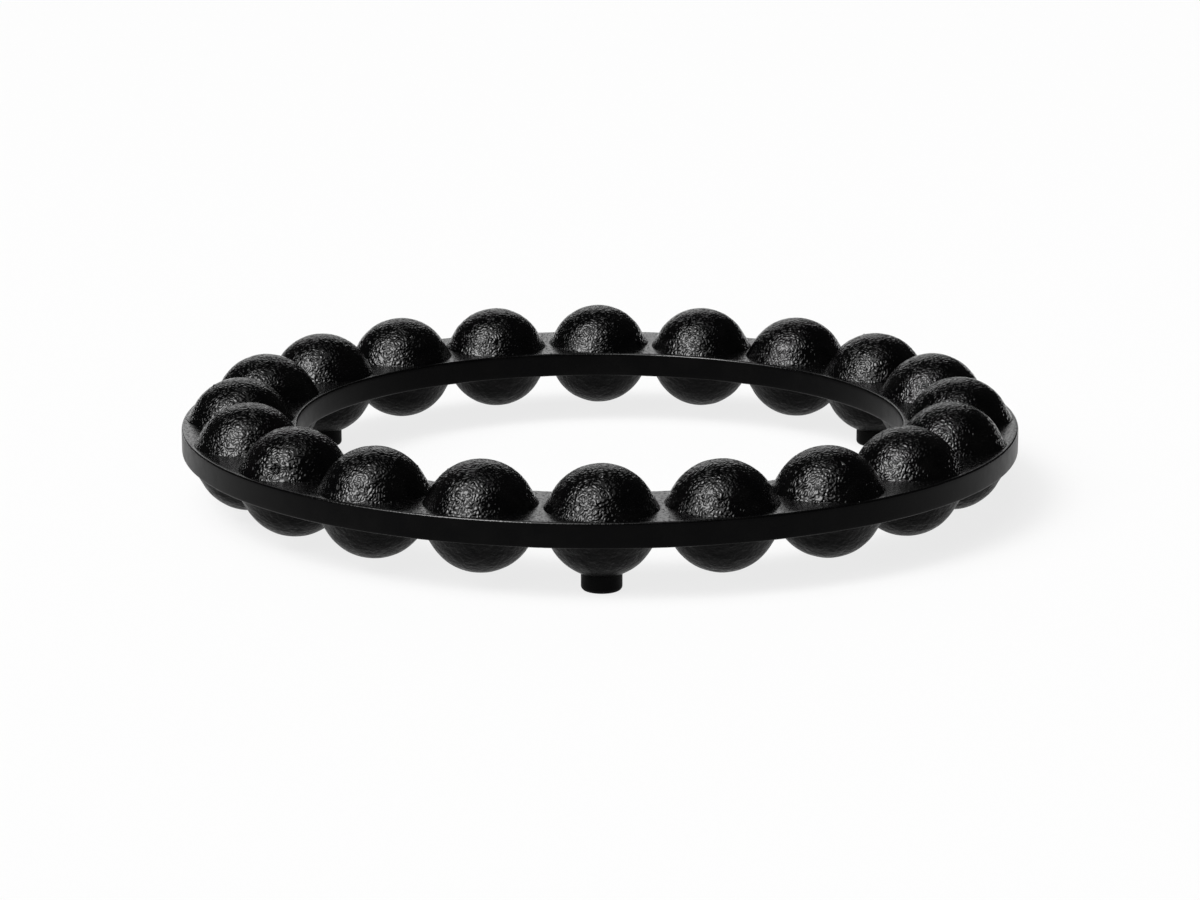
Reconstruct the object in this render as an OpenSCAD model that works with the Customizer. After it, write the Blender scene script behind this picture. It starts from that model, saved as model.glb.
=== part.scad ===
// Round cast trivet: a flat ring that carries a circle of balls, standing on three plugs.
// The origin lies on the table under the middle of the ring, and the first ball faces -Y.

/* [Ring] */
// Outside diameter of the ring
ring_outer_d = 200; // [196:0.5:240]
// Inside diameter of the ring
ring_inner_d = 145; // [120:0.5:147]
// Thickness of the ring
ring_t = 5.9; // [4.5:0.1:9]
// Radius that breaks the ring's four edges
ring_edge_r = 0.5; // [0.2:0.1:1.5]

/* [Balls] */
// Number of balls around the ring
ball_count = 20; // [12:1:22]
// Diameter of each ball
ball_d = 25.3; // [22:0.1:27]
// How far the skirt at a dome's base stands out beyond the ball's widest circle
skirt_out = 0.25; // [0.1:0.05:0.8]
// Depth to which the skirt runs into the ring's face
skirt_sink = 0.2; // [0.1:0.05:0.4]

/* [Feet] */
// Diameter of each foot
foot_d = 9.2; // [6:0.1:14]
// How far a foot stands out below the lowest point of its ball
foot_drop = 3.1; // [2:0.1:8]
// Rounding of a foot's lower edge
foot_edge_r = 1; // [0.4:0.1:1.8]
// Bevel that leads a foot into its bore
foot_bevel = 0.6; // [0.2:0.1:1.2]
// Depth of a foot's blind bore above the lowest point of its ball
bore_depth = 8; // [4:0.1:12]
// Play between a foot and the wall of its bore
bore_play = 0.05; // [0.02:0.01:0.2]

/* [Hidden] */
ring_outer_r = ring_outer_d / 2;
ring_inner_r = ring_inner_d / 2;
ball_r = ball_d / 2;
foot_r = foot_d / 2;
bore_r = foot_r + bore_play;
// The balls sit on the middle of the ring's width.
ball_circle_r = (ring_outer_r + ring_inner_r) / 2;
// Heights above the table.
ball_bottom = foot_drop;
mid_height = ball_bottom + ball_r;
bore_top = ball_bottom + bore_depth;
// The skirt is a cone that touches the ball and meets the ring's face at base_r.
face_height = ring_t / 2;
base_r = ball_r + skirt_out;
base_reach = sqrt(pow(base_r, 2) + pow(face_height, 2));
touch_angle = atan2(face_height, base_r) + acos(ball_r / base_reach);
touch_r = ball_r * cos(touch_angle);
touch_height = ball_r * sin(touch_angle);
skirt_slope = (base_r - touch_r) / (touch_height - face_height);
sunk_r = base_r + skirt_sink * skirt_slope;
sunk_height = face_height - skirt_sink;
foot_count = 3;
fine = 96;

// Direction of a ball seen from the middle of the ring, the first one facing -Y.
function ball_angle(i) = -90 + i * 360 / ball_count;
// The ball that stands nearest to an even share of the circle carries the foot.
function foot_ball(k) = round(k * ball_count / foot_count);

module at_ball(i, height) {
    rotate([0, 0, ball_angle(i)]) translate([ball_circle_r, 0, height]) children();
}

// Bar section with rounded corners, its middle on the X axis.
module rounded_bar(from, to, height, r) {
    translate([from + r, -height / 2]) square([to - from - 2 * r, height]);
    translate([from, -height / 2 + r]) square([to - from, height - 2 * r]);
    for (x = [from + r, to - r], y = [-height / 2 + r, height / 2 - r])
        translate([x, y]) circle(r = r, $fn = fine);
}

module flat_ring() {
    translate([0, 0, mid_height])
        rotate_extrude($fn = 2 * fine)
            rounded_bar(ring_inner_r, ring_outer_r, ring_t, ring_edge_r);
}

// Straight skirts on which the upper and the lower dome run down into the ring's faces.
module skirts() {
    rotate_extrude($fn = fine)
        polygon([
            [0, touch_height],
            [touch_r, touch_height],
            [sunk_r, sunk_height],
            [sunk_r, -sunk_height],
            [touch_r, -touch_height],
            [0, -touch_height]
        ]);
}

module ball() {
    sphere(r = ball_r, $fn = fine);
    skirts();
}

module foot_bore() {
    cylinder(r = bore_r, h = bore_top, $fn = fine);
}

module cast_ring() {
    color([0.07, 0.07, 0.075])
        difference() {
            union() {
                flat_ring();
                for (i = [0 : ball_count - 1]) at_ball(i, mid_height) ball();
            }
            for (k = [0 : foot_count - 1]) at_ball(foot_ball(k), 0) foot_bore();
        }
}

// Rubber plug: rounded below, bevelled above, seated on the floor of its bore.
module foot(k) {
    color([0.04, 0.04, 0.042])
        at_ball(foot_ball(k), 0) {
            rotate_extrude($fn = fine) {
                square([foot_r - foot_edge_r, foot_edge_r]);
                intersection() {
                    translate([foot_r - foot_edge_r, foot_edge_r]) circle(r = foot_edge_r, $fn = fine);
                    square([foot_r, foot_edge_r]);
                }
                polygon([
                    [0, foot_edge_r],
                    [foot_r, foot_edge_r],
                    [foot_r, bore_top - foot_bevel],
                    [foot_r - foot_bevel, bore_top],
                    [0, bore_top]
                ]);
            }
        }
}

cast_ring();
foot(0);  // front_foot
foot(1);  // rear_right_foot
foot(2);  // rear_left_foot
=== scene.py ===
"""Round cast trivet: a flat ring with a circle of balls, in a wrinkled black skin, on rubber plugs.

All sizes are in metres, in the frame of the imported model: the table is at z = 0, the ring's axis is
the Z axis and the first ball faces -Y.
"""

import math

import bpy
import numpy as np
from bpy.props import FloatProperty, FloatVectorProperty, IntProperty, PointerProperty
from mathutils import Matrix, Vector


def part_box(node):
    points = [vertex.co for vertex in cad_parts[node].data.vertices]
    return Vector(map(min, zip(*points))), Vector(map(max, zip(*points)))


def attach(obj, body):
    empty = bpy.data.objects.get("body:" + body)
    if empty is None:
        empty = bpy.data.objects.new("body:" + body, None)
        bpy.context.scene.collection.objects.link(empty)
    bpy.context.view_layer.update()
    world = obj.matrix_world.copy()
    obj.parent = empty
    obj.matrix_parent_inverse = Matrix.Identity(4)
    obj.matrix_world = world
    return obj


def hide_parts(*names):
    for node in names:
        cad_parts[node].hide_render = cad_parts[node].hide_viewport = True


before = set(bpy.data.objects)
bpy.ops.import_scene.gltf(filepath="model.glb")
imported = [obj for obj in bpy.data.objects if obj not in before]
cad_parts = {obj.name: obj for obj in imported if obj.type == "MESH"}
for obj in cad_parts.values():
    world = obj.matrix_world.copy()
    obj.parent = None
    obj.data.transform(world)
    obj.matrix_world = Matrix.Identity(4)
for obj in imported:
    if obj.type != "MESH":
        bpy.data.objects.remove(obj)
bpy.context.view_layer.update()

bl_info = {
    "name": "Round cast trivet",
    "version": (1, 0, 0),
    "blender": (4, 5, 0),
    "location": "3D View > Sidebar > Trivet",
    "description": "Builds the cast skin, the rubber feet and the studio of a round trivet",
    "category": "Object",
}

MM = 0.001
QUARTER_TURN = math.pi / 2
BODY = "root"
FEET = ["front_foot", "rear_right_foot", "rear_left_foot"]

# Places that the solids give.
ring_low, ring_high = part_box("cast_ring")
foot_low, foot_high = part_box("front_foot")
OUTER_R = ring_high.x
MID_Z = (ring_low.z + ring_high.z) / 2
BALL_R = (ring_high.z - ring_low.z) / 2
FOOT_R = (foot_high.x - foot_low.x) / 2
FOOT_TOP = foot_high.z
CIRCLE_R = -(foot_low.y + foot_high.y) / 2

# Marks of the casting that catch the eye, for each ball that has some: azimuth and elevation of
# each mark in degrees, and its radius. The hollows of a ball run together into one flaw.
HOLLOWS = {
    17: [
        (-17.5, 27.0, 0.7 * MM),
        (-19.5, 24.0, 0.8 * MM),
        (-22.5, 24.5, 0.55 * MM),
        (-16.0, 23.0, 0.5 * MM),
    ],
}
NODULES = {0: [(2.7, 64.5, 0.42 * MM)]}

# Smallest and largest radius of the marks that fall at random on every upper dome, and the depth of
# a pit and the height of a nodule as shares of their radii.
PIT_RADII = (0.2 * MM, 0.42 * MM)
NODULE_RADII = (0.18 * MM, 0.3 * MM)
PIT_DEPTH = 0.8
NODULE_HEIGHT = 0.9

# Seeds of the random patterns.
WRINKLE_SEED = 11
WAVE_SEED = 12
GRAIN_SEED = 21
PATCH_SEED = 22
MARK_SEED = 300


class RingSizes(bpy.types.PropertyGroup):
    """The flat ring between the upper and the lower domes."""

    inner_r: FloatProperty(
        name="Inner radius",
        description="Radius of the open middle",
        default=72.5 * MM,
        unit="LENGTH",
    )
    thickness: FloatProperty(
        name="Thickness",
        description="Distance between the ring's two faces",
        default=5.9 * MM,
        unit="LENGTH",
    )
    edge_r: FloatProperty(
        name="Edge radius",
        description="Rounding of the four edges",
        default=0.5 * MM,
        unit="LENGTH",
    )
    step: FloatProperty(
        name="Mesh step",
        description="Distance between the points of the mesh",
        default=0.8 * MM,
        unit="LENGTH",
    )
    grain_depth: FloatProperty(
        name="Grain depth",
        description="Depth of the sand grain in the two faces",
        default=0.03 * MM,
        unit="LENGTH",
    )
    grain_length: FloatProperty(
        name="Grain length",
        description="Wavelength of the sand grain",
        default=2.2 * MM,
        unit="LENGTH",
    )
    patch_length: FloatProperty(
        name="Patch length",
        description="Wavelength of the patches in which the sand grain is deeper or shallower",
        default=9.0 * MM,
        unit="LENGTH",
    )
    wall_grain: FloatProperty(
        name="Wall grain",
        description="Share of the grain's depth that the walls have",
        default=0.25,
        min=0,
        max=1,
    )


class BallSizes(bpy.types.PropertyGroup):
    """The balls, the skirts on which they run down into the ring, and their skin."""

    count: IntProperty(
        name="Balls",
        description="Number of balls around the ring",
        default=20,
        min=3,
    )
    skirt_out: FloatProperty(
        name="Skirt",
        description="How far the skirt at a dome's base stands out beyond the ball's widest circle",
        default=0.25 * MM,
        unit="LENGTH",
    )
    skirt_sink: FloatProperty(
        name="Skirt sink",
        description="Depth to which the skirt runs into the ring's face",
        default=0.2 * MM,
        unit="LENGTH",
    )
    step: FloatProperty(
        name="Upper mesh step",
        description="Distance between the points of the mesh on the upper domes",
        default=0.24 * MM,
        unit="LENGTH",
    )
    lower_step: FloatProperty(
        name="Lower mesh step",
        description="Distance between the rows of the mesh on the lower domes",
        default=0.6 * MM,
        unit="LENGTH",
    )
    wrinkle_depth: FloatProperty(
        name="Wrinkle depth",
        description="Depth of the grooves between the pads of the upper domes' skin",
        default=0.05 * MM,
        unit="LENGTH",
    )
    wrinkle_length: FloatProperty(
        name="Wrinkle length",
        description="Wavelength of the skin's grooves",
        default=1.6 * MM,
        unit="LENGTH",
    )
    wave_depth: FloatProperty(
        name="Wave depth",
        description="Depth of the shallow waves in the skin of all domes",
        default=0.05 * MM,
        unit="LENGTH",
    )
    wave_length: FloatProperty(
        name="Wave length",
        description="Wavelength of the shallow waves",
        default=4.5 * MM,
        unit="LENGTH",
    )
    pits: IntProperty(
        name="Pits",
        description="Number of small casting pits on an upper dome",
        default=4,
        min=0,
    )
    nodules: IntProperty(
        name="Nodules",
        description="Number of small grains that stand out of an upper dome",
        default=2,
        min=0,
    )
    bore_play: FloatProperty(
        name="Bore play",
        description="Gap between a foot and the wall of its bore",
        default=0.05 * MM,
        unit="LENGTH",
    )


class FootSizes(bpy.types.PropertyGroup):
    """The rubber plugs, spread evenly under the balls."""

    edge_r: FloatProperty(
        name="Edge radius",
        description="Rounding of the lower edge",
        default=1.0 * MM,
        unit="LENGTH",
    )
    bevel: FloatProperty(
        name="Bevel",
        description="Bevel of the hidden upper edge",
        default=0.6 * MM,
        unit="LENGTH",
    )
    columns: IntProperty(
        name="Columns",
        description="Points around a foot",
        default=96,
        min=12,
    )


class Finish(bpy.types.PropertyGroup):
    """Colours and gloss."""

    iron: FloatVectorProperty(
        name="Iron",
        description="Colour of the black iron",
        default=(0.0009, 0.0009, 0.001),
        subtype="COLOR",
        min=0,
        max=1,
    )
    iron_worn: FloatVectorProperty(
        name="Iron, worn",
        description="Colour of the iron where its coat is thin",
        default=(0.0026, 0.0025, 0.0025),
        subtype="COLOR",
        min=0,
        max=1,
    )
    rubber: FloatVectorProperty(
        name="Rubber",
        description="Colour of the feet",
        default=(0.0012, 0.0012, 0.0012),
        subtype="COLOR",
        min=0,
        max=1,
    )
    rubber_dusty: FloatVectorProperty(
        name="Rubber, dusty",
        description="Colour of the feet where dust dulls them",
        default=(0.0024, 0.0024, 0.0024),
        subtype="COLOR",
        min=0,
        max=1,
    )
    skin_gloss: FloatProperty(
        name="Skin gloss",
        description="Specular level of the upper domes",
        default=0.3,
        min=0,
    )
    face_gloss: FloatProperty(
        name="Face gloss",
        description="Specular level of the ring's faces and upper edges",
        default=0.45,
        min=0,
    )
    wall_gloss: FloatProperty(
        name="Wall gloss",
        description="Specular level of the ring's walls and the lower domes",
        default=0.045,
        min=0,
    )
    rubber_gloss: FloatProperty(
        name="Rubber gloss",
        description="Specular level of the feet",
        default=0.04,
        min=0,
    )
    floor: FloatVectorProperty(
        name="Floor",
        description="Colour of the floor",
        default=(0.92, 0.92, 0.92),
        subtype="COLOR",
        min=0,
        max=1,
    )


class Studio(bpy.types.PropertyGroup):
    """Camera and lamps. An azimuth of 0 lies towards the camera, and a negative one to the left."""

    elevation: FloatProperty(
        name="Camera elevation",
        description="Height of the camera above the horizon, seen from the ring",
        default=math.radians(13.65),
        subtype="ANGLE",
    )
    azimuth: FloatProperty(
        name="Camera azimuth",
        description="Turn of the camera round the ring's axis",
        default=math.radians(-0.25),
        subtype="ANGLE",
    )
    distance: FloatProperty(
        name="Camera distance",
        description="Distance from the camera to the middle of the ring",
        default=0.9767,
        unit="LENGTH",
    )
    lens: FloatProperty(
        name="Lens",
        description="Focal length in millimetres on a sensor of 36 mm",
        default=121.93,
    )
    rise: FloatProperty(
        name="Object rise",
        description="How far the ring's middle lies above the middle of the view",
        default=4.917 * MM,
        unit="LENGTH",
    )
    key_azimuth: FloatProperty(
        name="Key azimuth",
        description="Direction of the key light",
        default=math.radians(-48),
        subtype="ANGLE",
    )
    key_elevation: FloatProperty(
        name="Key elevation",
        description="Height of the key light above the horizon",
        default=math.radians(50),
        subtype="ANGLE",
    )
    core_size: FloatProperty(
        name="Core size",
        description="Angle across the bright core of the key light, seen from the object",
        default=math.radians(24),
        subtype="ANGLE",
    )
    core_power: FloatProperty(
        name="Core power",
        description="Light of the core on a face turned to it, in watts per square metre",
        default=1.75,
    )
    halo_size: FloatProperty(
        name="Halo size",
        description="Angle across the weaker light round the core, seen from the object",
        default=math.radians(60),
        subtype="ANGLE",
    )
    halo_power: FloatProperty(
        name="Halo power",
        description="Light of the halo on a face turned to it, in watts per square metre",
        default=2.0,
    )
    top_azimuth: FloatProperty(
        name="Top azimuth",
        description="Direction of the softbox above the object",
        default=math.radians(-20),
        subtype="ANGLE",
    )
    top_elevation: FloatProperty(
        name="Top elevation",
        description="Height of the softbox above the horizon",
        default=math.radians(82),
        subtype="ANGLE",
    )
    top_distance: FloatProperty(
        name="Top distance",
        description="Distance from the origin to the softbox",
        default=1.6,
        unit="LENGTH",
    )
    top_size: FloatProperty(
        name="Top size",
        description="Side of the square softbox",
        default=1.0,
        unit="LENGTH",
    )
    top_power: FloatProperty(
        name="Top power",
        description="Power of the softbox in watts",
        default=1.7,
    )


# Patterns and meshes


def wave_sum(points, seed, length, count=48):
    """Smooth random height of about unit size at each point.

    The sum of count cosine waves in random directions of space, each with a random phase and a
    wavelength within a fifth of the given length, divided by the root of half their number.
    """
    draw = np.random.default_rng(seed)
    direction = draw.normal(size=(3, count))
    direction /= np.linalg.norm(direction, axis=0)
    number = 2 * np.pi / (length * draw.uniform(0.8, 1.2, count))
    phase = draw.uniform(0, 2 * np.pi, count)
    return np.cos(points @ (direction * number) + phase).sum(1) / math.sqrt(count / 2)


def grooves(height, steepness=1.3, rounding=0.02):
    """Depth of a leathery skin from a smooth random height: 1 in grooves and about 0 on pads.

    The grooves follow the lines where the height crosses zero. The depth is 1 less the tanh of the
    steepness times the root of height^2 + rounding, so that each groove has a round floor.
    """
    return 1 - np.tanh(steepness * np.sqrt(height**2 + rounding))


def valleys(height):
    """Depth from 0 on the hills of a smooth random height to 1 in its valleys: 1/2 - tanh / 2."""
    return 0.5 - 0.5 * np.tanh(height)


def bells(points, places, radii):
    """Height of round bells, each as high as its radius: radius * exp(-(distance / radius)^2)."""
    total = np.zeros(len(points))
    for place, radius in zip(places, radii):
        distance = np.linalg.norm(points - place, axis=1)
        total = np.maximum(total, radius * np.exp(-((distance / radius) ** 2)))
    return total


def from_direction(azimuth, elevation, distance):
    """Vector of a length in a direction, whose azimuth is 0 towards -Y and grows towards +X.

    It is distance * (cos elevation * sin azimuth, -cos elevation * cos azimuth, sin elevation).
    """
    flat, tall = distance * np.cos(elevation), distance * np.sin(elevation)
    return np.stack([flat * np.sin(azimuth), -flat * np.cos(azimuth), tall], -1)


def arc(centre, radius, start, end, step):
    """Points of a round stretch about centre from one angle to another, at most step apart."""
    count = max(2, int(math.ceil(abs(end - start) * radius / step)) + 1)
    angle = np.linspace(start, end, count)
    return np.stack([centre[0] + radius * np.cos(angle), centre[1] + radius * np.sin(angle)], 1)


def straight(start, end, step):
    """Points of a straight stretch, at most step apart."""
    start, end = np.array(start, float), np.array(end, float)
    count = max(2, int(math.ceil(np.linalg.norm(end - start) / step)) + 1)
    return start + np.linspace(0, 1, count)[:, None] * (end - start)


def chain(*stretches):
    """One profile from stretches that meet end to end, with each meeting point kept once."""
    points = [stretches[0]]
    for stretch in stretches[1:]:
        points.append(stretch[1:])
    return np.concatenate(points)


def profile_normals(profile, closed=False):
    """Outward normals of a profile that runs with the solid on its right hand, as (across, up)."""
    if closed:
        tangent = np.roll(profile, -1, 0) - np.roll(profile, 1, 0)
    else:
        tangent = np.gradient(profile, axis=0)
    tangent /= np.linalg.norm(tangent, axis=1)[:, None]
    return np.stack([-tangent[:, 1], tangent[:, 0]], 1)


def spread(across_up, columns):
    """Grid of vectors (across, up) turned about the Z axis into each of the columns' directions."""
    angle = np.arange(columns) * 2 * np.pi / columns
    outward = np.stack([np.cos(angle), np.sin(angle)], 1)
    flat = across_up[:, None, :1] * outward[None]
    tall = np.broadcast_to(across_up[:, None, 1:], (len(across_up), columns, 1))
    return np.concatenate([flat, tall], 2)


def grid_faces(rows, columns, first=0, wrap_rows=False):
    """Quads of a grid that closes round its columns, and round its rows too when asked."""
    row = np.arange(rows if wrap_rows else rows - 1)[:, None]
    column = np.arange(columns)[None]
    here, below = row * columns, (row + 1) % rows * columns
    right = (column + 1) % columns
    quads = np.stack([here + column, below + column, below + right, here + right], -1)
    return quads.reshape(-1, 4) + first


def make_piece(name, points, faces, materials, slots=None):
    """A smooth mesh object that rides on the part, from an array of points and a list of faces.

    Each item of the list is an array of faces with equally many corners. With slots, each face
    takes the material of that number.
    """
    mesh = bpy.data.meshes.new(name)
    corners = np.concatenate([group.ravel() for group in faces]).astype(np.int32)
    sizes = np.concatenate([np.full(len(group), group.shape[1]) for group in faces])
    starts = np.concatenate([[0], np.cumsum(sizes)[:-1]]).astype(np.int32)
    mesh.vertices.add(len(points))
    mesh.vertices.foreach_set("co", points.astype(np.float32).ravel())
    mesh.loops.add(len(corners))
    mesh.loops.foreach_set("vertex_index", corners)
    mesh.polygons.add(len(sizes))
    mesh.polygons.foreach_set("loop_start", starts)
    mesh.polygons.foreach_set("use_smooth", np.ones(len(sizes), bool))
    for material in materials:
        mesh.materials.append(material)
    if slots is not None:
        mesh.polygons.foreach_set("material_index", slots.astype(np.int32))
    mesh.update(calc_edges=True)
    mesh.validate()
    piece = bpy.data.objects.new(name, mesh)
    bpy.context.scene.collection.objects.link(piece)
    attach(piece, BODY)
    return piece


def closed_turning(name, grid, materials, split=None):
    """A piece from a turned grid whose first and last rows lie on the axis: each becomes one pole.

    With a split, the faces from that row on take the second material.
    """
    rows, columns = grid.shape[:2]
    points = np.concatenate([grid[:1, 0], grid[1:-1].reshape(-1, 3), grid[-1:, 0]])
    quads = grid_faces(rows - 2, columns, first=1)
    column = np.arange(columns)
    right = (column + 1) % columns
    last = 1 + (rows - 3) * columns
    top = np.stack([np.zeros(columns, int), 1 + column, 1 + right], 1)
    bottom = np.stack([np.full(columns, len(points) - 1), last + right, last + column], 1)
    slots = None
    if split is not None:
        between_poles = np.repeat(np.arange(1, rows - 2) >= split, columns)
        slots = np.concatenate([between_poles, np.zeros(columns), np.ones(columns)])
    return make_piece(name, points, [quads, top, bottom], materials, slots)


# Finishes


def add(tree, kind, links=None, **values):
    """A node of one kind, with attributes from values and its inputs set or linked from links."""
    made = tree.nodes.new(kind)
    for name, value in values.items():
        setattr(made, name, value)
    for name, value in (links or {}).items():
        if isinstance(value, bpy.types.NodeSocket):
            tree.links.new(value, made.inputs[name])
        else:
            made.inputs[name].default_value = value
    return made


def combine(tree, one, other, operation="ADD"):
    """Two numbers put together: their sum, unless another operation is named."""
    return add(tree, "ShaderNodeMath", {0: one, 1: other}, operation=operation).outputs[0]


def noise(tree, place, period, detail=2.0, rough=0.5):
    """Noise whose features are about period metres apart."""
    links = {"Vector": place, "Scale": 1 / period, "Detail": detail, "Roughness": rough}
    return add(tree, "ShaderNodeTexNoise", links).outputs["Fac"]


def between(tree, factor, low, high, start=0.3, end=0.7):
    """A number that goes from low to high while the factor goes from start to end."""
    links = {"Value": factor, "From Min": start, "From Max": end, "To Min": low, "To Max": high}
    return add(tree, "ShaderNodeMapRange", links).outputs["Result"]


def blend_colours(tree, factor, one, other):
    """One colour mixed with another by a factor."""
    mix = add(tree, "ShaderNodeMix", {"Factor": factor}, data_type="RGBA")
    ends = [socket for socket in mix.inputs if socket.type == "RGBA"]
    ends[0].default_value = (*one, 1)
    ends[1].default_value = (*other, 1)
    return [socket for socket in mix.outputs if socket.type == "RGBA"][0]


def coat(name, colours, patch, roughness, gloss):
    """A material whose colour and roughness drift between two values from patch to patch.

    Gives the material, its node tree and the place on the piece, which its bump reads too.
    """
    material = bpy.data.materials.new(name)
    material.use_nodes = True
    tree = material.node_tree
    shader = tree.nodes["Principled BSDF"]
    place = add(tree, "ShaderNodeTexCoord").outputs["Object"]
    tone = between(tree, noise(tree, place, patch, 4.0, 0.6), 0.0, 1.0, 0.45, 0.75)
    tree.links.new(blend_colours(tree, tone, *colours), shader.inputs["Base Color"])
    cloud = noise(tree, place, patch / 2, 3.0, 0.6)
    tree.links.new(between(tree, cloud, *roughness), shader.inputs["Roughness"])
    shader.inputs["Specular IOR Level"].default_value = gloss
    return material, tree, place


def iron_coat(finish, name, patch, roughness, gloss):
    """A coat in the colours of the iron."""
    return coat(name, (finish.iron, finish.iron_worn), patch, roughness, gloss)


def emboss(material, height, depth):
    """Bend the material's normal by a height of which one unit is depth metres deep."""
    tree = material.node_tree
    raised = add(tree, "ShaderNodeBump", {"Height": height, "Distance": depth})
    tree.links.new(raised.outputs["Normal"], tree.nodes["Principled BSDF"].inputs["Normal"])


def wrinkled_iron(finish):
    """Half glossy black coat with fine pads, parted by grooves, on the larger ones of the mesh.

    The height is the root of wave^2 + rounding^2, where wave is a smooth noise about zero, so that
    the grooves follow the lines where it crosses zero.
    """
    iron, tree, place = iron_coat(finish, "wrinkled_iron", 6 * MM, (0.07, 0.12), finish.skin_gloss)
    rounding = 0.015
    wave = combine(tree, noise(tree, place, 0.85 * MM, 0.0), -0.5)
    square = combine(tree, combine(tree, wave, wave, "MULTIPLY"), rounding**2)
    emboss(iron, combine(tree, square, 0.5, "POWER"), 0.34 * MM)
    return iron


def grained_iron(finish):
    """Fine sand-cast grain of the ring's faces: single grains on an even, finer roughness."""
    iron, tree, place = iron_coat(finish, "grained_iron", 4 * MM, (0.12, 0.18), finish.face_gloss)
    grains = between(tree, noise(tree, place, 0.6 * MM, 1.0, 0.5), 0.0, 1.0, 0.58, 0.72)
    fine = combine(tree, noise(tree, place, 0.4 * MM, 3.0, 0.6), 0.3, "MULTIPLY")
    emboss(iron, combine(tree, grains, fine), 0.12 * MM)
    return iron


def edge_iron(finish):
    """Nearly smooth coat of the ring's rounded upper edges."""
    iron, tree, place = iron_coat(finish, "edge_iron", 4 * MM, (0.12, 0.18), finish.face_gloss)
    emboss(iron, noise(tree, place, 0.6 * MM, 1.0, 0.5), 0.06 * MM)
    return iron


def satin_iron(finish):
    """Smooth coat of the ring's walls."""
    iron, tree, place = iron_coat(finish, "satin_iron", 8 * MM, (0.3, 0.38), finish.wall_gloss)
    emboss(iron, noise(tree, place, 0.5 * MM, 3.0, 0.6), 0.014 * MM)
    return iron


def streaked_iron(finish):
    """Thin mottled coat of the lower domes: a fine noise plus 1.5 times a coarse one."""
    iron, tree, place = iron_coat(finish, "streaked_iron", 2 * MM, (0.25, 0.45), finish.wall_gloss)
    coarse = combine(tree, noise(tree, place, 2.5 * MM, 1.0, 0.6), 1.5, "MULTIPLY")
    fine = noise(tree, place, 0.8 * MM, 2.0, 0.6)
    emboss(iron, combine(tree, fine, coarse), 0.2 * MM)
    return iron


def black_rubber(finish):
    """Smooth matte rubber."""
    colours = finish.rubber, finish.rubber_dusty
    rubber, tree, place = coat("black_rubber", colours, 3 * MM, (0.45, 0.6), finish.rubber_gloss)
    emboss(rubber, noise(tree, place, 0.2 * MM, 2.0, 0.6), 0.006 * MM)
    return rubber


# Balls


def ball_centre(index, count):
    """Middle of a ball, the first one facing -Y."""
    angle = -QUARTER_TURN + index * 2 * math.pi / count
    return np.array([CIRCLE_R * math.cos(angle), CIRCLE_R * math.sin(angle), MID_Z])


def foot_balls(balls):
    """Indexes of the balls that stand nearest to even shares of the circle, one for each foot."""
    return [round(share * balls / len(FEET)) for share in range(len(FEET))]


def ball_profile(ring, ball, with_bore):
    """Half outline of a ball from its top to its bottom, about its own middle.

    A round dome, a straight skirt that touches the dome and runs into the ring's face, an upright
    stretch inside the ring, and the same again below. With a bore, the outline ends in a blind hole
    with a flat floor. Also gives the row inside the ring and the number of rows outside the bore.
    """
    half = ring.thickness / 2
    base_r = BALL_R + ball.skirt_out
    touch = math.atan2(half, base_r) + math.acos(BALL_R / math.hypot(base_r, half))
    touch_r, touch_z = BALL_R * math.cos(touch), BALL_R * math.sin(touch)
    slope = (base_r - touch_r) / (touch_z - half)
    sunk_r, sunk_z = base_r + ball.skirt_sink * slope, half - ball.skirt_sink
    bore_r = FOOT_R + ball.bore_play
    end = math.acos(bore_r / BALL_R) if with_bore else QUARTER_TURN
    upper = chain(
        arc((0, 0), BALL_R, QUARTER_TURN, touch, ball.step),
        straight((touch_r, touch_z), (sunk_r, sunk_z), ball.step),
    )
    lower = chain(
        straight((sunk_r, -sunk_z), (touch_r, -touch_z), ball.lower_step),
        arc((0, 0), BALL_R, -touch, -end, ball.lower_step),
    )
    profile = np.concatenate([upper, lower])
    outer = len(profile)
    if with_bore:
        floor_z = FOOT_TOP - MID_Z
        wall = straight(lower[-1], (bore_r, floor_z), ball.lower_step)
        profile = chain(profile, wall, straight((bore_r, floor_z), (0, floor_z), bore_r))
    profile[0, 0] = profile[-1, 0] = 0
    return profile, len(upper), outer


def mark_places(draw, centre, count, radii, known):
    """Places and radii of the marks on an upper dome: a count of random ones, then the known ones.

    The random ones are spread evenly over the dome from 30 to 72 degrees above its widest circle.
    """
    azimuth = draw.uniform(-np.pi, np.pi, count)
    elevation = np.arcsin(draw.uniform(0.5, 0.95, count))
    radius = draw.uniform(*radii, count)
    known = np.array(known).reshape(-1, 3)
    azimuth = np.concatenate([azimuth, np.radians(known[:, 0])])
    elevation = np.concatenate([elevation, np.radians(known[:, 1])])
    radius = np.concatenate([radius, known[:, 2]])
    return centre + from_direction(azimuth, elevation, BALL_R), radius


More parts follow.
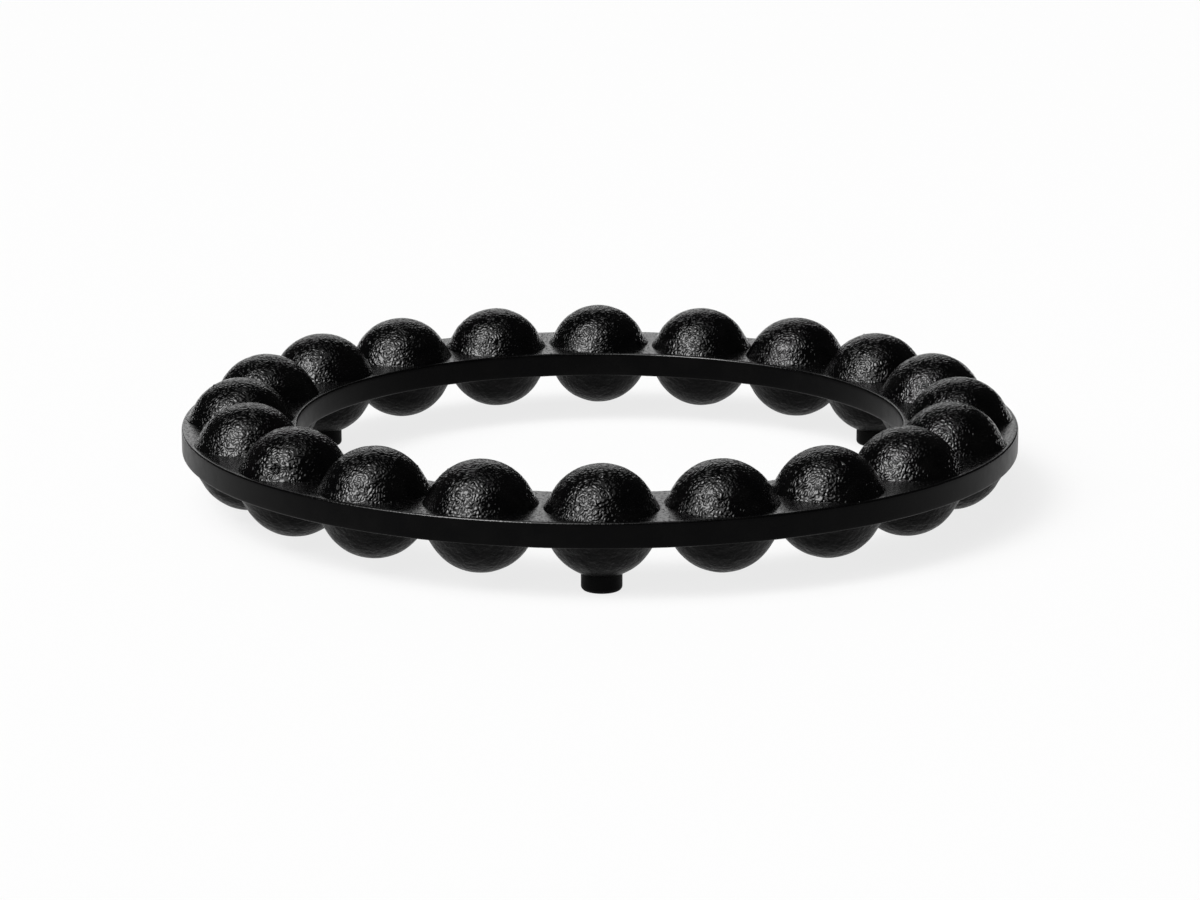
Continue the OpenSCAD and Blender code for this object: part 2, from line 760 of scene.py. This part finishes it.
def make_ball(index, ring, ball, materials):
    """A ball in its cast skin, pressed into the solid's surface.

    The depth below that surface is the grooves of the upper dome, plus shallow waves, plus a few
    pits, less a few nodules, all fading out where the ball runs into the ring. The grooves follow
    the zero lines of a fine wave plus 0.3 of the shallow one.
    """
    profile, split, outer = ball_profile(ring, ball, index in foot_balls(ball.count))
    columns = 4 * int(math.ceil(QUARTER_TURN * BALL_R / ball.step))
    centre = ball_centre(index, ball.count)
    grid = spread(profile, columns) + centre
    flat = grid.reshape(-1, 3)
    draw = np.random.default_rng(MARK_SEED + index)
    pits = mark_places(draw, centre, ball.pits, PIT_RADII, HOLLOWS.get(index, []))
    nodules = mark_places(draw, centre, ball.nodules, NODULE_RADII, NODULES.get(index, []))
    marks = PIT_DEPTH * bells(flat, *pits) - NODULE_HEIGHT * bells(flat, *nodules)
    shallow = wave_sum(flat, WAVE_SEED, ball.wave_length)
    skin = grooves(wave_sum(flat, WRINKLE_SEED, ball.wrinkle_length) + 0.3 * shallow)
    waves = ball.wave_depth * valleys(0.8 * shallow)
    # Heights count in halves of the ring's thickness, so that its faces lie at 1 and -1. The skin
    # starts just inside the faces and has its full depth one such half further on.
    height = np.repeat(profile[:, 1] / (ring.thickness / 2), columns)
    start = 0.9
    above = np.clip(height - start, 0, 1)
    below = np.clip(-height - start, 0, 1)
    # The bore stays plain, and so do the last two rows before it or at the pole.
    below[(outer - 2) * columns :] = 0
    depth = above * (ball.wrinkle_depth * skin + marks) + (above + below) * waves
    normal = spread(profile_normals(profile), columns)
    grid = grid - normal * depth.reshape(grid.shape[:2])[..., None]
    return closed_turning(f"ball_{index + 1:02d}", grid, materials, split)


class TRIVET_OT_balls(bpy.types.Operator):
    """Build the balls, which show as domes above and below the ring"""

    bl_idname = "trivet.balls"
    bl_label = "Balls"

    def execute(self, context):
        scene = context.scene
        materials = [wrinkled_iron(scene.trivet_finish), streaked_iron(scene.trivet_finish)]
        for index in range(scene.trivet_balls.count):
            piece = make_ball(index, scene.trivet_ring, scene.trivet_balls, materials)
            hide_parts("cast_ring")
        return {"FINISHED"}


# Ring


def ring_section(ring):
    """Closed outline of the ring's section: a bar with four rounded edges, its upper face first."""
    half, edge = ring.thickness / 2, ring.edge_r
    inner, outer = ring.inner_r, OUTER_R
    corner = edge * QUARTER_TURN / 5
    outline = chain(
        straight((inner + edge, half), (outer - edge, half), ring.step),
        arc((outer - edge, half - edge), edge, QUARTER_TURN, 0, corner),
        straight((outer, half - edge), (outer, edge - half), ring.step),
        arc((outer - edge, edge - half), edge, 0, -QUARTER_TURN, corner),
        straight((outer - edge, -half), (inner + edge, -half), ring.step),
        arc((inner + edge, edge - half), edge, -QUARTER_TURN, -2 * QUARTER_TURN, corner),
        straight((inner, edge - half), (inner, half - edge), ring.step),
        arc((inner + edge, half - edge), edge, 2 * QUARTER_TURN, QUARTER_TURN, corner),
    )
    return outline[:-1]


def ring_slots(ring, section, columns):
    """Material of each quad of the ring: 0 on its faces, 1 on its upper edges, 2 on its walls.

    A point of the section is placed by how far it lies below the upper face, in edge radii. A strip
    of quads takes the larger number of the two points that it joins.
    """
    sunk = (ring.thickness / 2 - section[:, 1]) / ring.edge_r
    on_edge = (sunk > 0.01) & (sunk < 0.9)
    on_wall = (sunk > 0.9) & (section[:, 1] > -ring.thickness / 2)
    slots = np.maximum(2 * on_wall, on_edge)
    return np.repeat(np.maximum(slots, np.roll(slots, -1)), columns)


def make_ring(ring, materials):
    """The flat ring: its section turned about the Z axis and pressed in by the sand grain.

    The grain's height is 0.7 of a fine wave plus 0.5 of a coarse one, and its valleys go in. They
    have their full depth on the faces and a share of it on the walls, blended between the two by
    the square of the normal's upright part.
    """
    section = ring_section(ring)
    rows, columns = len(section), int(math.ceil(2 * math.pi * OUTER_R / ring.step))
    grid = spread(section, columns) + np.array([0, 0, MID_Z])
    flat = grid.reshape(-1, 3)
    fine = wave_sum(flat, GRAIN_SEED, ring.grain_length)
    coarse = wave_sum(flat, PATCH_SEED, ring.patch_length)
    grain = valleys(0.7 * fine + 0.5 * coarse).reshape(rows, columns)
    across_up = profile_normals(section, closed=True)
    share = ring.wall_grain + (1 - ring.wall_grain) * across_up[:, 1] ** 2
    depth = ring.grain_depth * share[:, None] * grain
    grid = grid - spread(across_up, columns) * depth[..., None]
    quads = grid_faces(rows, columns, wrap_rows=True)
    slots = ring_slots(ring, section, columns)
    return make_piece("flat_ring", grid.reshape(-1, 3), [quads], materials, slots)


class TRIVET_OT_ring(bpy.types.Operator):
    """Build the flat ring that joins the balls"""

    bl_idname = "trivet.ring"
    bl_label = "Ring"

    def execute(self, context):
        finish = context.scene.trivet_finish
        materials = [grained_iron(finish), edge_iron(finish), satin_iron(finish)]
        piece = make_ring(context.scene.trivet_ring, materials)
        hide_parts("cast_ring")
        return {"FINISHED"}


# Feet


def foot_profile(foot):
    """Half outline of a plug from its top to its sole: flat, bevelled, upright, rounded, flat."""
    bevel, edge = foot.bevel, foot.edge_r
    return chain(
        straight((0, FOOT_TOP), (FOOT_R - bevel, FOOT_TOP), FOOT_R),
        straight((FOOT_R - bevel, FOOT_TOP), (FOOT_R, FOOT_TOP - bevel), bevel),
        straight((FOOT_R, FOOT_TOP - bevel), (FOOT_R, edge), edge),
        arc((FOOT_R - edge, edge), edge, 0, -QUARTER_TURN, edge * QUARTER_TURN / 8),
        straight((FOOT_R - edge, 0), (0, 0), edge),
    )


class TRIVET_OT_feet(bpy.types.Operator):
    """Build the rubber plugs that the trivet stands on"""

    bl_idname = "trivet.feet"
    bl_label = "Feet"

    def execute(self, context):
        scene = context.scene
        foot, count = scene.trivet_feet, scene.trivet_balls.count
        material = black_rubber(scene.trivet_finish)
        profile = foot_profile(foot)
        for name, index in zip(FEET, foot_balls(count)):
            middle = ball_centre(index, count) * np.array([1, 1, 0])
            grid = spread(profile, foot.columns) + middle
            piece = closed_turning(name.replace("foot", "plug"), grid, [material])
            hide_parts(name)
        return {"FINISHED"}


# Studio


def place_lamp(name, kind, place, **values):
    """A lamp that faces the ring's middle from a place and that the camera doesn't see."""
    data = bpy.data.lights.new(name, kind)
    for key, value in values.items():
        setattr(data, key, value)
    lamp = bpy.data.objects.new(name, data)
    lamp.location = place
    aim = Vector((0, 0, MID_Z)) - lamp.location
    lamp.rotation_euler = aim.to_track_quat("-Z", "Y").to_euler()
    lamp.visible_camera = False
    bpy.context.scene.collection.objects.link(lamp)


def make_lamps(studio, key_distance=4.0):
    """A key light from the front left, as a bright core in a weaker halo, and a softbox above.

    The core and the halo are suns, so their distance has no effect on the light.
    """
    key_place = from_direction(studio.key_azimuth, studio.key_elevation, key_distance)
    place_lamp("key_core", "SUN", key_place, angle=studio.core_size, energy=studio.core_power)
    place_lamp("key_halo", "SUN", key_place, angle=studio.halo_size, energy=studio.halo_power)
    top_place = from_direction(studio.top_azimuth, studio.top_elevation, studio.top_distance)
    box = {"shape": "SQUARE", "size": studio.top_size, "energy": studio.top_power}
    place_lamp("top_softbox", "AREA", top_place, **box)


def make_world():
    """A dim studio with a white screen behind the object, a little to the left.

    The screen is the product of four ramps over the unit direction: how far behind it points, its
    height above the foot and below the top of the screen, and how far it lies to either side.
    """
    world = bpy.data.worlds.new("studio")
    bpy.context.scene.world = world
    world.use_nodes = True
    tree = world.node_tree
    background = tree.nodes["Background"]
    direction = add(tree, "ShaderNodeTexCoord").outputs["Generated"]
    parts = add(tree, "ShaderNodeSeparateXYZ", {"Vector": direction}).outputs
    shift = 0.08
    aside = combine(tree, combine(tree, parts["X"], shift), 0.0, "ABSOLUTE")
    behind = between(tree, parts["Y"], 0.0, 1.0, 0.0, 0.1)
    over_foot = between(tree, parts["Z"], 0.0, 1.0, 0.04, 0.12)
    within_sides = between(tree, aside, 1.0, 0.0, 0.16, 0.36)
    under_top = between(tree, parts["Z"], 1.0, 0.0, 0.35, 0.75)
    white = behind
    for ramp in [over_foot, within_sides, under_top]:
        white = combine(tree, white, ramp, "MULTIPLY")
    colour = blend_colours(tree, white, (0.02, 0.02, 0.02), (1, 1, 1))
    tree.links.new(colour, background.inputs["Color"])
    background.inputs["Strength"].default_value = 1


def make_floor(colour, radius=12.0, sides=96, white_share=0.8):
    """A round pale floor. The camera, gloss and glass see it mixed with a share of plain white."""
    mesh = bpy.data.meshes.new("floor")
    points = spread(np.array([[radius, 0.0]]), sides)[0]
    mesh.from_pydata(points.tolist(), [], [list(range(sides))])
    floor = bpy.data.objects.new("floor", mesh)
    bpy.context.scene.collection.objects.link(floor)
    material = bpy.data.materials.new("pale_floor")
    material.use_nodes = True
    tree = material.node_tree
    tree.nodes.remove(tree.nodes["Principled BSDF"])
    lit = add(tree, "ShaderNodeBsdfDiffuse", {"Color": (*colour, 1)}).outputs[0]
    white = add(tree, "ShaderNodeEmission", {"Color": (1, 1, 1, 1), "Strength": 1.0}).outputs[0]
    path = add(tree, "ShaderNodeLightPath").outputs
    seen = combine(tree, path["Is Camera Ray"], path["Is Glossy Ray"], "MAXIMUM")
    seen = combine(tree, seen, path["Is Transmission Ray"], "MAXIMUM")
    share = combine(tree, seen, white_share, "MULTIPLY")
    mix = add(tree, "ShaderNodeMixShader", {0: share, 1: lit, 2: white}).outputs[0]
    tree.links.new(mix, tree.nodes["Material Output"].inputs["Surface"])
    mesh.materials.append(material)


def make_camera(studio):
    """A camera in the studio's direction from the ring, aimed a little below the ring's middle."""
    azimuth, elevation = studio.azimuth, studio.elevation
    forward = -Vector(from_direction(azimuth, elevation, 1.0))
    right = Vector((math.cos(azimuth), math.sin(azimuth), 0))
    up = right.cross(forward)
    data = bpy.data.cameras.new("camera")
    data.lens = studio.lens
    data.sensor_width = 36
    camera = bpy.data.objects.new("camera", data)
    bpy.context.scene.collection.objects.link(camera)
    place = Vector((0, 0, MID_Z)) - studio.distance * forward - studio.rise * up
    turn = Matrix((right, up, -forward)).transposed().to_4x4()
    camera.matrix_world = Matrix.Translation(place) @ turn
    bpy.context.scene.camera = camera


class TRIVET_OT_studio(bpy.types.Operator):
    """Set up the floor, the lamps, the world and the camera"""

    bl_idname = "trivet.studio"
    bl_label = "Studio"

    def execute(self, context):
        scene = context.scene
        make_world()
        make_floor(scene.trivet_finish.floor)
        make_lamps(scene.trivet_studio)
        make_camera(scene.trivet_studio)
        scene.view_settings.view_transform = "Standard"
        return {"FINISHED"}


class TRIVET_PT_parts(bpy.types.Panel):
    """The trivet's pieces and its studio, one button each"""

    bl_idname = "TRIVET_PT_parts"
    bl_label = "Round cast trivet"
    bl_space_type = "VIEW_3D"
    bl_region_type = "UI"
    bl_category = "Trivet"

    def draw(self, context):
        column = self.layout.column()
        for step in STEPS:
            column.operator(step.bl_idname)


GROUPS = {
    "trivet_ring": RingSizes,
    "trivet_balls": BallSizes,
    "trivet_feet": FootSizes,
    "trivet_finish": Finish,
    "trivet_studio": Studio,
}
STEPS = [TRIVET_OT_balls, TRIVET_OT_ring, TRIVET_OT_feet, TRIVET_OT_studio]


def register():
    for cls in [*GROUPS.values(), *STEPS, TRIVET_PT_parts]:
        bpy.utils.register_class(cls)
    for name, group in GROUPS.items():
        setattr(bpy.types.Scene, name, PointerProperty(type=group))


def unregister():
    for name in GROUPS:
        delattr(bpy.types.Scene, name)
    for cls in reversed([*GROUPS.values(), *STEPS, TRIVET_PT_parts]):
        bpy.utils.unregister_class(cls)


def main():
    register()
    bpy.ops.trivet.balls()
    bpy.ops.trivet.ring()
    bpy.ops.trivet.feet()
    bpy.ops.trivet.studio()


if __name__ == "__main__":
    main()
